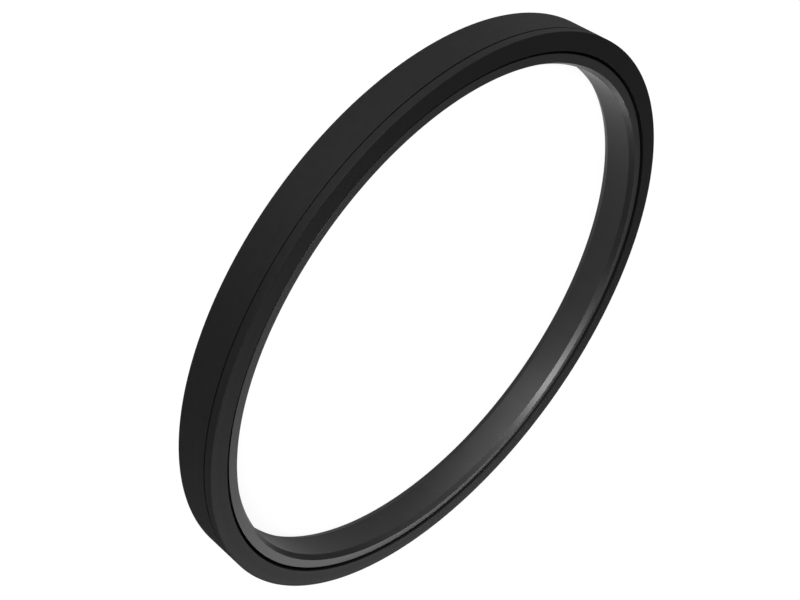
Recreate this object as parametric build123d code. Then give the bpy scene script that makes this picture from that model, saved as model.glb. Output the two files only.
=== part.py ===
from build123d import *
import os

# A two-piece piston seal. A hard slide ring runs against the cylinder wall, and a softer
# energiser ring inside it grips the floor of the piston groove and presses the slide ring out.
# All sizes are in millimetres. +Z is the seal's axis and z = 0 is the slide ring's rear face.

# Slide ring
SLIDE_OUTER_RADIUS = 50.0
SLIDE_HEIGHT = 6.95
SLIDE_WALL = 2.97
FRONT_CORNER_RADIUS = 0.05
SLOT_EDGE_RADIUS = 0.03

# Fine groove turned round the running face
RELIEF_SETBACK = 1.36
RELIEF_WIDTH = 0.2
RELIEF_DEPTH = 0.25

# Energiser ring
ENERGISER_WALL = 2.48
ENERGISER_FRONT_RECESS = 0.28
ENERGISER_REAR_RECESS = 0.18
FRONT_LEAD_LENGTH = 0.88
FRONT_LEAD_DEPTH = 0.53
REAR_LEAD_LENGTH = 1.0
REAR_LEAD_DEPTH = 0.52
LEAD_BLEND_RADIUS = 0.3

# Open slot between the two rings, the same at both faces
SLOT_WIDTH = 0.51
SLOT_DEPTH = 1.5

slide_bore_radius = SLIDE_OUTER_RADIUS - SLIDE_WALL
energiser_bore_radius = slide_bore_radius - ENERGISER_WALL
energiser_front = SLIDE_HEIGHT - ENERGISER_FRONT_RECESS
energiser_rear = ENERGISER_REAR_RECESS


def ring(section):
    """A full ring turned about the seal's axis from a section drawn as radius and height."""
    return revolve(Plane.XZ * section, Axis.Z)


def slide_ring():
    """Square-cornered ring with a fine groove round its running face."""
    blank = Pos(slide_bore_radius, 0) * Rectangle(SLIDE_WALL, SLIDE_HEIGHT, align=(Align.MIN, Align.MIN))
    bore_corners = blank.vertices().group_by(Axis.X)[0]
    section = fillet(bore_corners, SLOT_EDGE_RADIUS)
    front_outer_corner = section.vertices().group_by(Axis.X)[-1].sort_by(Axis.Y)[-1]
    section = fillet(front_outer_corner, FRONT_CORNER_RADIUS)

    groove_height = SLIDE_HEIGHT - RELIEF_SETBACK
    groove = Pos(SLIDE_OUTER_RADIUS, groove_height) * Rectangle(2 * RELIEF_DEPTH, RELIEF_WIDTH)
    return ring(section - groove)


def energiser_ring():
    """Moulded ring with a bearing rib round its middle and a lead-in cone at each end of its bore."""
    wall_radius = slide_bore_radius - SLOT_WIDTH
    rib_rear = energiser_rear + SLOT_DEPTH
    rib_front = energiser_front - SLOT_DEPTH
    section = make_face(
        Polyline(
            (energiser_bore_radius + REAR_LEAD_DEPTH, energiser_rear),
            (wall_radius, energiser_rear),
            (wall_radius, rib_rear),
            (slide_bore_radius, rib_rear + SLOT_WIDTH),
            (slide_bore_radius, rib_front - SLOT_WIDTH),
            (wall_radius, rib_front),
            (wall_radius, energiser_front),
            (energiser_bore_radius + FRONT_LEAD_DEPTH, energiser_front),
            (energiser_bore_radius, energiser_front - FRONT_LEAD_LENGTH),
            (energiser_bore_radius, energiser_rear + REAR_LEAD_LENGTH),
            close=True,
        )
    )
    cone_feet = section.vertices().group_by(Axis.X)[0]
    return ring(fillet(cone_feet, LEAD_BLEND_RADIUS))


NODES = {
    "slide_ring": slide_ring,
    "energiser_ring": energiser_ring,
}

os.makedirs("parts", exist_ok=True)
for name, make in NODES.items():
    export_step(make(), f"parts/{name}.step")
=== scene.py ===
import bpy
import math
from mathutils import Matrix, Vector

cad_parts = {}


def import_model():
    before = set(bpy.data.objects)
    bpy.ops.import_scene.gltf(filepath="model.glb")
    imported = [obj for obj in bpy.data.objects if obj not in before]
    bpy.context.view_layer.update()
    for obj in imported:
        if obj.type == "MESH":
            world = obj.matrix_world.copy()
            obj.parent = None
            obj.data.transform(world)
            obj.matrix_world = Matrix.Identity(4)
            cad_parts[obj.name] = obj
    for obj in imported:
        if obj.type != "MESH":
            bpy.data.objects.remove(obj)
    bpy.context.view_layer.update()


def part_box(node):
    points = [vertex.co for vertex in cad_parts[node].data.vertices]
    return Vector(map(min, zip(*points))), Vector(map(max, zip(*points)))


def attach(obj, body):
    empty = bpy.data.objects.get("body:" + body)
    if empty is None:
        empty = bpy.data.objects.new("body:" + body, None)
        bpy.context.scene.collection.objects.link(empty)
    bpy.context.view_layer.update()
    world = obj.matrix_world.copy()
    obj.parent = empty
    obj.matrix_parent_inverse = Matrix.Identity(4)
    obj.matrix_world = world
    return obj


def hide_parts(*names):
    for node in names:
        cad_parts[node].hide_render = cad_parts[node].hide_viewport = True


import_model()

# Sizes that the rings take from the CAD sections, in metres
MM = 0.001
SLIDE_RADIUS = 50.0 * MM
SLIDE_WALL = 2.97 * MM
FRONT_CORNER_RADIUS = 0.05 * MM
SLOT_EDGE_RADIUS = 0.03 * MM
RELIEF_SETBACK = 1.36 * MM
RELIEF_WIDTH = 0.2 * MM
RELIEF_DEPTH = 0.25 * MM
ENERGISER_WALL = 2.48 * MM
FRONT_LEAD_LENGTH = 0.88 * MM
FRONT_LEAD_DEPTH = 0.53 * MM
REAR_LEAD_LENGTH = 1.0 * MM
REAR_LEAD_DEPTH = 0.52 * MM
SLOT_WIDTH = 0.51 * MM
SLOT_DEPTH = 1.5 * MM

# A fine break for the edges that are sharp in the CAD, and for the feet of the lead-in cones,
# where a larger rounding would show a light line that the photo doesn't have
EDGE_BREAK = 0.02 * MM

# Steps round the whole ring, and along each rounded corner of a section
TURNS = 720
ARC_STEPS = 6

# The materials: the darkest and lightest grey of each, its roughness seen face-on and edge-on,
# its specular level, and the depth of its fine relief
PLASTIC_GREYS = (0.0024, 0.0032)
PLASTIC_ROUGHNESS = (0.5, 0.54)
PLASTIC_EDGE_ROUGHNESS = 0.95
PLASTIC_SPECULAR = 0.108
TOOL_MARK_DEPTH = 0.0012 * MM
RUBBER_GREYS = (0.0031, 0.0041)
RUBBER_ROUGHNESS = (0.39, 0.41)
RUBBER_EDGE_ROUGHNESS = 0.2
RUBBER_SPECULAR = 0.48
GRAIN_DEPTH = 0.001 * MM

# Noise textures: how fine each one is, and how many finer layers it has
MOTTLE = (900.0, 4.0)
SHEEN_BANDS = (1400.0, 1.0)
TOOL_MARKS = (9000.0, 3.0)
BLOOM = (260.0, 3.0)
GRAIN = (7000.0, 2.0)

# The limits between which most of a noise texture's values lie
NOISE_LOW = 0.3
NOISE_HIGH = 0.7

# How far the turning marks shift in the noise from one side of the ring to the other
TURNING_DRIFT = 0.004

# The share of the edge-on roughness: one less the cosine of the angle of view, to this power.
# The node gives one less the cosine when its blend is half.
EVEN_BLEND = 0.5
GRAZING_POWER = 4.0

# The floor's own colour and roughness, how much of its glow the camera and the reflections see,
# the glow's level to the camera, which brings the lit floor to white, and its level in the
# reflections, a painted reflection that falls across the seal from one side to the other
FLOOR_RADIUS = 3.0
FLOOR_SIDES = 96
FLOOR_COLOUR = 0.375
FLOOR_ROUGHNESS = 0.9
CAMERA_GLOW = 0.8
GLOSS_GLOW = 0.2
GLOW_LEVEL = 1.17
PAINTED_REFLECTION_LEVELS = (1.8, 0.3)
PAINTED_REFLECTION_REACH = 65.0 * MM

# Soft lamps round the seal: name, azimuth and elevation, half the angle it fills, watts
ROOM_LEVEL = 0.17
LAMP_DISTANCE = 1.2
LAMPS = (
    ("key", 4, 38, 5, 11.27),
    ("key_side", 25, 35, 10, 2.88),
    ("low_side", -90, 8, 10, 1.37),
    ("low_left", -50, 2, 3, 9.34),
    ("low_middle", -30, 6, 5, 6.47),
    ("low_front", -12, 6, 5, 10.9),
    ("low_front_right", -5, 4, 5, 7.35),
    ("top", 180, 70, 10, 2.29),
    ("back_right", 150, 20, 5, 1.66),
    ("back_right_low", 150, 3, 5, 0.87),
    ("back", 158, 25, 10, 0.54),
    ("back_low", 170, 8, 10, 1.16),
    ("back_left_low", 180, 12, 10, 0.28),
)

# The photograph's camera: its lens and sensor in millimetres, its place and the nearest and
# farthest that it sees in metres, its tilt from straight down and its roll in degrees
SENSOR_WIDTH = 36.0
FOCAL_LENGTH = 56.45
CAMERA_PLACE = (0.00174, -0.177983, 0.097968)
CLIP_NEAR = 0.001
CLIP_FAR = 20.0
CAMERA_TILT = 60.0
CAMERA_ROLL = 125.27

slide_low, slide_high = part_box("slide_ring")
energiser_low, energiser_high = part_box("energiser_ring")
slide_bore = SLIDE_RADIUS - SLIDE_WALL
energiser_bore = slide_bore - ENERGISER_WALL


def rounded_section(corners):
    """Points and normals round a closed section, anticlockwise in radius and height.

    Each corner is (radius, height, rounding); the rounding is an arc tangent to both sides."""
    points = []
    count = len(corners)
    for i, (radius, height, rounding) in enumerate(corners):
        here = Vector((radius, height))
        before = (Vector(corners[i - 1][:2]) - here).normalized()
        after = (Vector(corners[(i + 1) % count][:2]) - here).normalized()
        half = before.angle(after) / 2
        start = here + before * (rounding / math.tan(half))
        middle = here + (before + after).normalized() * (rounding / math.sin(half))
        convex = before.cross(after) < 0
        side = 1 if convex else -1
        sweep = side * (math.pi - 2 * half)
        for step in range(ARC_STEPS + 1):
            spoke = Matrix.Rotation(sweep * step / ARC_STEPS, 2) @ (start - middle)
            points.append((middle + spoke, side * spoke.normalized()))
    return points


def lathe(name, corners):
    """A ring turned about the seal's axis from a rounded section, with exact normals."""
    section = rounded_section(corners)
    verts, normals, faces = [], [], []
    rows = len(section)
    for turn in range(TURNS):
        angle = 2 * math.pi * turn / TURNS
        c, s = math.cos(angle), math.sin(angle)
        for point, normal in section:
            verts.append((point.x * c, point.x * s, point.y))
            normals.append((normal.x * c, normal.x * s, normal.y))
    for turn in range(TURNS):
        this, following = turn * rows, (turn + 1) % TURNS * rows
        for row in range(rows):
            up = (row + 1) % rows
            faces.append((this + row, following + row, following + up, this + up))
    mesh = bpy.data.meshes.new(name)
    mesh.from_pydata(verts, [], faces)
    mesh.shade_smooth()
    mesh.normals_split_custom_set_from_vertices(normals)
    piece = bpy.data.objects.new(name, mesh)
    bpy.context.scene.collection.objects.link(piece)
    return piece


def slide_ring():
    """The hard outer ring, with the fine groove round its running face."""
    low, high = slide_low.z, slide_high.z
    groove_low = high - RELIEF_SETBACK - RELIEF_WIDTH / 2
    groove_high = groove_low + RELIEF_WIDTH
    groove_floor = SLIDE_RADIUS - RELIEF_DEPTH
    corners = [
        (slide_bore, low, SLOT_EDGE_RADIUS),
        (SLIDE_RADIUS, low, EDGE_BREAK),
        (SLIDE_RADIUS, groove_low, EDGE_BREAK),
        (groove_floor, groove_low, EDGE_BREAK),
        (groove_floor, groove_high, EDGE_BREAK),
        (SLIDE_RADIUS, groove_high, EDGE_BREAK),
        (SLIDE_RADIUS, high, FRONT_CORNER_RADIUS),
        (slide_bore, high, SLOT_EDGE_RADIUS),
    ]
    piece = lathe("slide_ring_turned", corners)
    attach(piece, "root")
    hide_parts("slide_ring")
    return piece


def energiser_ring():
    """The softer inner ring, with its bearing rib and the lead-in cones of its bore."""
    low, high = energiser_low.z, energiser_high.z
    wall = slide_bore - SLOT_WIDTH
    rib_low, rib_high = low + SLOT_DEPTH, high - SLOT_DEPTH
    outline = [
        (energiser_bore + REAR_LEAD_DEPTH, low),
        (wall, low),
        (wall, rib_low),
        (slide_bore, rib_low + SLOT_WIDTH),
        (slide_bore, rib_high - SLOT_WIDTH),
        (wall, rib_high),
        (wall, high),
        (energiser_bore + FRONT_LEAD_DEPTH, high),
        (energiser_bore, high - FRONT_LEAD_LENGTH),
        (energiser_bore, low + REAR_LEAD_LENGTH),
    ]
    corners = [(radius, height, EDGE_BREAK) for radius, height in outline]
    piece = lathe("energiser_ring_moulded", corners)
    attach(piece, "root")
    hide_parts("energiser_ring")
    return piece


def node_adder(tree):
    """A short way to add nodes to a tree; a node's inputs are values, or sockets to link from."""
    def add(kind, inputs=None, **settings):
        node = tree.nodes.new("ShaderNode" + kind)
        for key, value in settings.items():
            setattr(node, key, value)
        for key, value in (inputs or {}).items():
            if isinstance(value, bpy.types.NodeSocket):
                tree.links.new(value, node.inputs[key])
            else:
                node.inputs[key].default_value = value
        return node

    return add


def new_material(name):
    """A material with its node tree, its shader and a way to add nodes to the tree."""
    material = bpy.data.materials.new(name)
    material.use_nodes = True
    tree = material.node_tree
    return material, tree, tree.nodes["Principled BSDF"], node_adder(tree)


def noise(add, vector, texture):
    """A noise value at a place, from the texture's scale and detail."""
    scale, detail = texture
    return add("TexNoise", {"Vector": vector, "Scale": scale, "Detail": detail}).outputs["Fac"]


def spread(add, source, limits):
    """Stretch a noise value, which keeps near the middle of 0 to 1, between two limits."""
    inputs = {"Value": source, "From Min": NOISE_LOW, "From Max": NOISE_HIGH}
    inputs["To Min"], inputs["To Max"] = limits
    return add("MapRange", inputs).outputs["Result"]


def grazing(add, roughness, edge):
    """Let the roughness run to another value where the surface is seen edge-on."""
    facing = add("LayerWeight", {"Blend": EVEN_BLEND}).outputs["Facing"]
    share = add("Math", {0: facing, 1: GRAZING_POWER}, operation="POWER").outputs[0]
    return add("Mix", {"Factor": share, "A": roughness, "B": edge}).outputs["Result"]


def section_coordinates(add, place):
    """Radius, height and a little of the way round, so that a texture runs round the axis."""
    x, y, z = add("SeparateXYZ", {0: place}).outputs
    flat = add("CombineXYZ", {"X": x, "Y": y}).outputs[0]
    radius = add("VectorMath", {0: flat}, operation="LENGTH").outputs["Value"]
    drift = add("Math", {0: x, 1: TURNING_DRIFT}, operation="MULTIPLY").outputs[0]
    return add("CombineXYZ", {"X": radius, "Y": z, "Z": drift}).outputs[0]


def black_material(name, make_surface, relief_depth, specular):
    """A dark grey material; make_surface gives its grey, its roughness and its relief's height."""
    material, tree, shader, add = new_material(name)
    grey, roughness, height = make_surface(add, add("TexCoord").outputs["Object"])
    colour = add("CombineColor", {"Red": grey, "Green": grey, "Blue": grey})
    bump = add("Bump", {"Strength": 1.0, "Distance": relief_depth, "Height": height})
    tree.links.new(colour.outputs[0], shader.inputs["Base Color"])
    tree.links.new(roughness, shader.inputs["Roughness"])
    tree.links.new(bump.outputs[0], shader.inputs["Normal"])
    shader.inputs["Specular IOR Level"].default_value = specular
    return material


def turned_plastic(add, place):
    """Hard black filled plastic: fine tool marks that run round the ring, and a faint mottle."""
    around = section_coordinates(add, place)
    grey = spread(add, noise(add, place, MOTTLE), PLASTIC_GREYS)
    roughness = spread(add, noise(add, around, SHEEN_BANDS), PLASTIC_ROUGHNESS)
    tool_marks = noise(add, around, TOOL_MARKS)
    return grey, grazing(add, roughness, PLASTIC_EDGE_ROUGHNESS), tool_marks


def moulded_rubber(add, place):
    """Satin black rubber: a fine moulded grain, and a bloom that comes and goes."""
    bloom = noise(add, place, BLOOM)
    grey = spread(add, bloom, RUBBER_GREYS)
    roughness = spread(add, bloom, RUBBER_ROUGHNESS)
    grain = noise(add, place, GRAIN)
    return grey, grazing(add, roughness, RUBBER_EDGE_ROUGHNESS), grain


def floor():
    """A plain white floor: lit, it takes the seal's soft shadow, and the rest of it glows.

    The glow reaches the camera and, more weakly, the reflections; it lights nothing."""
    bpy.ops.mesh.primitive_circle_add(vertices=FLOOR_SIDES, radius=FLOOR_RADIUS, fill_type="NGON")
    piece = bpy.context.object
    piece.name = "floor"
    material, tree, shader, add = new_material("floor_white")
    shader.inputs["Base Color"].default_value = (FLOOR_COLOUR, FLOOR_COLOUR, FLOOR_COLOUR, 1.0)
    shader.inputs["Roughness"].default_value = FLOOR_ROUGHNESS
    shader.inputs["Specular IOR Level"].default_value = 0.0
    path = add("LightPath").outputs
    seen = add("Math", {0: path["Is Camera Ray"], 1: CAMERA_GLOW}, operation="MULTIPLY")
    mirrored = add("Math", {0: path["Is Glossy Ray"], 1: GLOSS_GLOW}, operation="MULTIPLY")
    share = add("Math", {0: seen.outputs[0], 1: mirrored.outputs[0]}, operation="ADD")
    # Painted reflection: in glossy rays the floor's glow runs from bright on one side of the seal
    # to dim on the other
    across = add("SeparateXYZ", {0: add("TexCoord").outputs["Object"]}).outputs["X"]
    inputs = {"Value": across, "From Min": -PAINTED_REFLECTION_REACH, "From Max": PAINTED_REFLECTION_REACH}
    inputs["To Min"], inputs["To Max"] = PAINTED_REFLECTION_LEVELS
    painted_reflection_level = add("MapRange", inputs).outputs["Result"]
    level = add("Mix", {"Factor": path["Is Camera Ray"], "A": painted_reflection_level, "B": GLOW_LEVEL})
    glow = add("Emission", {"Strength": level.outputs["Result"]})
    mix = add("MixShader", {0: share.outputs[0], 1: shader.outputs[0], 2: glow.outputs[0]})
    tree.links.new(mix.outputs[0], tree.nodes["Material Output"].inputs["Surface"])
    piece.data.materials.append(material)


def world():
    """White to the camera, and a dim room to everything else."""
    here = bpy.data.worlds.new("studio")
    here.use_nodes = True
    tree = here.node_tree
    add = node_adder(tree)
    back = tree.nodes["Background"]
    back.inputs["Color"].default_value = (1.0, 1.0, 1.0, 1.0)
    seen = add("LightPath").outputs["Is Camera Ray"]
    level = add("MapRange", {"Value": seen, "To Min": ROOM_LEVEL, "To Max": 1.0})
    tree.links.new(level.outputs["Result"], back.inputs["Strength"])
    bpy.context.scene.world = here


def lamp(name, azimuth, elevation, half_angle, watts):
    """A round soft lamp that points at the seal; the camera stands at azimuth 0."""
    data = bpy.data.lights.new(name, "AREA")
    data.shape = "DISK"
    data.size = 2 * LAMP_DISTANCE * math.tan(math.radians(half_angle))
    data.energy = watts
    here = bpy.data.objects.new(name, data)
    turn = Matrix.Rotation(math.radians(azimuth), 4, "Z")
    lean = Matrix.Rotation(math.radians(90 - elevation), 4, "X")
    here.matrix_world = turn @ lean @ Matrix.Translation((0, 0, LAMP_DISTANCE))
    here.visible_camera = False
    bpy.context.scene.collection.objects.link(here)


def camera():
    """The photograph's view: 30 degrees above the seal's face, rolled about the line of sight."""
    data = bpy.data.cameras.new("camera")
    data.sensor_width = SENSOR_WIDTH
    data.lens = FOCAL_LENGTH
    data.clip_start, data.clip_end = CLIP_NEAR, CLIP_FAR
    here = bpy.data.objects.new("camera", data)
    tilt = Matrix.Rotation(math.radians(CAMERA_TILT), 4, "X")
    roll = Matrix.Rotation(math.radians(CAMERA_ROLL), 4, "Z")
    here.matrix_world = Matrix.Translation(CAMERA_PLACE) @ tilt @ roll
    bpy.context.scene.collection.objects.link(here)
    bpy.context.scene.camera = here


plastic = black_material("black_plastic", turned_plastic, TOOL_MARK_DEPTH, PLASTIC_SPECULAR)
rubber = black_material("black_rubber", moulded_rubber, GRAIN_DEPTH, RUBBER_SPECULAR)
slide_ring().data.materials.append(plastic)
energiser_ring().data.materials.append(rubber)
floor()
world()
for setting in LAMPS:
    lamp(*setting)
camera()

bpy.context.scene.view_settings.view_transform = "Standard"
